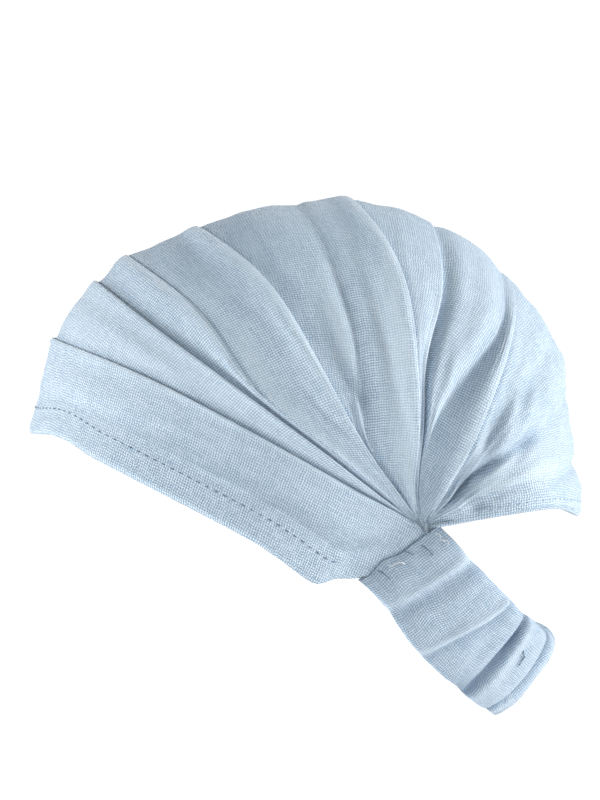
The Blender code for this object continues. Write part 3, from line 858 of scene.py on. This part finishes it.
sink = mouth + (eased(BAND_EDGES, 3, mirrored) + fine * INNER_SHARE) * RUCHE_DEPTH
turn = np.radians(band_turns)
away, level = heading(BAND_SLOPE), heading(BAND_SLOPE + 90)
tilted = BAND_TILT * band_across * ramp(mirrored, *TILT_STARTS)
reach = (BAND_REACH - tilted) * np.sin(turn)
tangent = np.concatenate([-MOUTH_X * np.sin(turn), BAND_REACH * np.cos(turn)], -1)
tangent /= np.linalg.norm(tangent, axis=1)[:, None]
side_out = np.stack([tangent[:, 1], -tangent[:, 0]], -1)
skew = np.tan(np.radians(MOUTH_ANGLE - BAND_SLOPE - 90)) * (1 - ramp(mirrored, *SKEW_FADE))
closing = MOUTH_CLOSES * np.exp(-((mirrored / MOUTH_SPREAD) ** 2)) * np.clip(band_across, 0, 1)
side = band_across * width * (1 - closing)
deep = through * np.where(through > 0, rise, sink)
slide = -side * skew * np.sign(np.cos(turn) + 1e-9)
uneven = MOUTH_WAVE * crumple(band_across * 2.6 + 11, band_across * 0 + 0.5, 41) * (through > 0)
slide += uneven * (1 - ramp(mirrored, 0, MOUTH_SPREAD)) * np.sign(90 - band_turns)
band_x = MOUTH_X * np.cos(turn) + side_out[:, :1] * deep + tangent[:, :1] * slide
run = reach + side_out[:, 1:] * deep + tangent[:, 1:] * slide
band_plane = mouth_point(0, 0) + away * run[:, :, None] + level * (side - drift)[:, :, None]
band_points = np.concatenate([band_x[:, :, None], band_plane], axis=2)
band_along = run_length(band_points, 0)
band_girth = run_length(band_points, 1)
# Painted highlight on the ruches' ridges and painted shade in their valleys, on the outside, a little
# uneven.
band_painted_light = eased(RUCHES, 2, np.clip(leaning, 0, 90)) * (through > -0.2)
band_painted_light = band_painted_light * (0.8 + 0.3 * crumple(band_across * 2.2, band_turns / 9, 51))
band = cloth_grid(
    "nape_band_casing", band_points, band_girth, band_along, [0] * (BAND_ROUND + 1), band_painted_light
)
bm = bmesh.new()
bm.from_mesh(band.data)
bmesh.ops.remove_doubles(bm, verts=bm.verts, dist=0.001 * MM)
bmesh.ops.recalc_face_normals(bm, faces=bm.faces)
bm.to_mesh(band.data)
bm.free()
band.data.materials.append(muslin("band_muslin", *BAND_TONES_PAINTED_SHADE))
thicken(band, CLOTH)
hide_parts("nape_band")
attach(band, "root")

# The running stitches: blue sewing thread in short even stitches, which hold the turned hems down
# along the brow and, paler, along the nape. The brow stitches' dark tone is partly the thread's own and
# partly painted shade of the grooves they sink into.
STITCH_LENGTH = 1.9 * MM
STITCH_WIDTH = 0.42 * MM
STITCH_HEIGHT = 0.30 * MM
STITCH_PITCH = 3.3 * MM
STITCH_COLUMN = len(HEM_CURL) + 5
STITCH_CLEAR = 12.5 * MM
STITCH_VARIES = (0.8, 1.15)
THREAD_TWIST = 0.7 * MM


def sewing_thread(name, tone):
    """Two-ply cotton thread: a fine slanting twist, with the tone a little uneven along it."""
    material = bpy.data.materials.new(name)
    material.use_nodes = True
    nodes, links = material.node_tree.nodes, material.node_tree.links
    shader = nodes["Principled BSDF"]
    place = nodes.new("ShaderNodeTexCoord")
    ply = nodes.new("ShaderNodeTexWave")
    ply.bands_direction = "DIAGONAL"
    ply.inputs["Scale"].default_value = 0.6 / THREAD_TWIST
    ply.inputs["Distortion"].default_value = 1.5
    ply.inputs["Detail"].default_value = 2
    links.new(place.outputs["Object"], ply.inputs["Vector"])
    uneven = nodes.new("ShaderNodeTexNoise")
    uneven.inputs["Scale"].default_value = 400
    links.new(place.outputs["Object"], uneven.inputs["Vector"])
    shade = nodes.new("ShaderNodeMath")
    shade.operation = "MULTIPLY"
    links.new(ply.outputs["Fac"], shade.inputs[0])
    links.new(uneven.outputs["Fac"], shade.inputs[1])
    mix = nodes.new("ShaderNodeMix")
    mix.data_type = "RGBA"
    mix.inputs["A"].default_value = (*(0.7 * part for part in tone), 1)
    mix.inputs["B"].default_value = (*(min(1.0, 1.5 * part) for part in tone), 1)
    links.new(shade.outputs[0], mix.inputs["Factor"])
    links.new(mix.outputs["Result"], shader.inputs["Base Color"])
    bump = nodes.new("ShaderNodeBump")
    bump.inputs["Distance"].default_value = 0.1 * MM
    links.new(ply.outputs["Fac"], bump.inputs["Height"])
    links.new(bump.outputs[0], shader.inputs["Normal"])
    shader.inputs["Roughness"].default_value = 0.7
    shader.inputs["Sheen Weight"].default_value = 0.2
    return material


def at_length(table, where):
    """A row of positions or directions, read at one length along the stitched line."""
    return Vector([np.interp(where, length, table[:, axis]) for axis in range(3)])


for name, column, tone in (
    # Dark: partly the thread's own tone, partly painted shade of the grooves the stitches sink into.
    ("front_hem_stitches", STITCH_COLUMN, (0.12, 0.19, 0.28)),
    ("back_hem_stitches", columns - 1 - STITCH_COLUMN, (0.42, 0.53, 0.64)),
):
    shown = np.flatnonzero(distance[:, column] > STITCH_CLEAR)[0]
    row = crown_points[shown:rows - shown, column]
    proud = outward[shown:rows - shown, column]
    length = np.concatenate([[0], np.cumsum(np.linalg.norm(np.diff(row, axis=0), axis=1))])
    random = np.random.default_rng(len(name))
    bm = bmesh.new()
    for middle in np.arange(STITCH_PITCH, length[-1] - STITCH_PITCH, STITCH_PITCH):
        half = STITCH_LENGTH / 2 * random.uniform(*STITCH_VARIES)
        start, end = at_length(row, middle - half), at_length(row, middle + half)
        lie = at_length(proud, middle)
        run = (end - start).normalized()
        lie = (lie - run * lie.dot(run)).normalized()
        turn_to = Matrix((run, run.cross(lie), lie)).transposed().to_4x4()
        size = Matrix.Diagonal((half, STITCH_WIDTH / 2, STITCH_HEIGHT, 1))
        placed = Matrix.Translation((start + end) / 2) @ turn_to @ size
        bmesh.ops.create_uvsphere(bm, u_segments=6, v_segments=5, radius=1, matrix=placed)
    mesh = bpy.data.meshes.new(name)
    bm.to_mesh(mesh)
    bm.free()
    mesh.polygons.foreach_set("use_smooth", [True] * len(mesh.polygons))
    piece = bpy.data.objects.new(name, mesh)
    bpy.context.scene.collection.objects.link(piece)
    piece.data.materials.append(sewing_thread(name + "_thread", tone))
    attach(piece, "root")

# The seam threads: at each side the gathered crown is oversewn into the end of the band by hand,
# with a few slanting stitches, a stray loop and a loose end.
SEAM_STITCHES = (
    # name, tone, radius (mm), points as (along the seam, out over the band, proud) in mm
    (
        "seam_stitch_low", 0, 0.22,
        ((-9.6, 0.6, -0.3), (-8.6, 2.4, 0.3), (-7.8, 4.9, 0.2), (-7.5, 5.6, -0.4)),
    ), (
        "seam_loop", 1, 0.26,
        ((-5.8, 1.2, -0.3), (-4.9, 2.0, 0.5), (-3.4, 2.3, 0.8), (-1.6, 3.1, 0.6), (-0.9, 4.4, -0.3)),
    ), (
        "seam_stitch_mid", 0, 0.20,
        ((1.2, 0.6, -0.3), (2.2, 1.8, 0.3), (3.4, 3.6, -0.3)),
    ), (
        "seam_stitch_high", 0, 0.22,
        ((7.0, 1.8, -0.3), (7.5, 3.4, 0.4), (8.3, 6.2, 0.2), (8.6, 7.0, -0.4)),
    ), (
        "seam_loose_end", 1, 0.20,
        ((12.6, 1.0, -0.3), (13.8, 2.6, 0.5), (13.2, 4.4, 0.9), (14.6, 5.6, 0.6), (14.2, 7.0, 0.9)),
    ), (
        "band_loose_thread", 0, 0.20,
        ((16.6, 53.6, 0.1), (15.6, 54.6, 0.5), (15.9, 55.4, 0.4), (14.2, 55.9, 0.6), (12.6, 57.0, 0.3)),
    ),
)
THREAD_TONES = ((0.16, 0.24, 0.34), (0.72, 0.81, 0.90))
cloths = []
for piece in (crown, band):
    corners = [vert.co for vert in piece.data.vertices]
    cloths.append(BVHTree.FromPolygons(corners, [face.vertices for face in piece.data.polygons]))
threads = [
    sewing_thread("seam_thread_" + name, tone) for name, tone in zip(("dark", "pale"), THREAD_TONES)
]
for side_name, way in (("left", 1), ("right", -1)):
    for name, tone, radius, route in SEAM_STITCHES:
        path = bpy.data.curves.new(f"{name}_{side_name}", "CURVE")
        path.dimensions = "3D"
        path.bevel_depth = radius * MM
        path.bevel_resolution = 2
        path.resolution_u = 6
        path.use_fill_caps = True
        spline = path.splines.new("BEZIER")
        spline.bezier_points.add(len(route) - 1)
        for point, (along, over_band, proud) in zip(spline.bezier_points, route):
            flat = mouth_point(0, 0) + heading(MOUTH_ANGLE) * along * MM
            flat = flat + heading(MOUTH_ANGLE - 90) * over_band * MM
            start = Vector((way * 2 * HALF_BREADTH, *flat))
            hits = [cloth.ray_cast(start, Vector((-way, 0, 0))) for cloth in cloths]
            found = max((hit for hit in hits if hit[0]), key=lambda hit: way * hit[0].x)
            facing = found[1] if found[1].x * way > 0 else -found[1]
            point.co = found[0] + facing * proud * MM
            point.handle_left_type = point.handle_right_type = "AUTO"
        piece = bpy.data.objects.new(f"{name}_{side_name}", path)
        bpy.context.scene.collection.objects.link(piece)
        path.materials.append(threads[tone])
        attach(piece, "root")
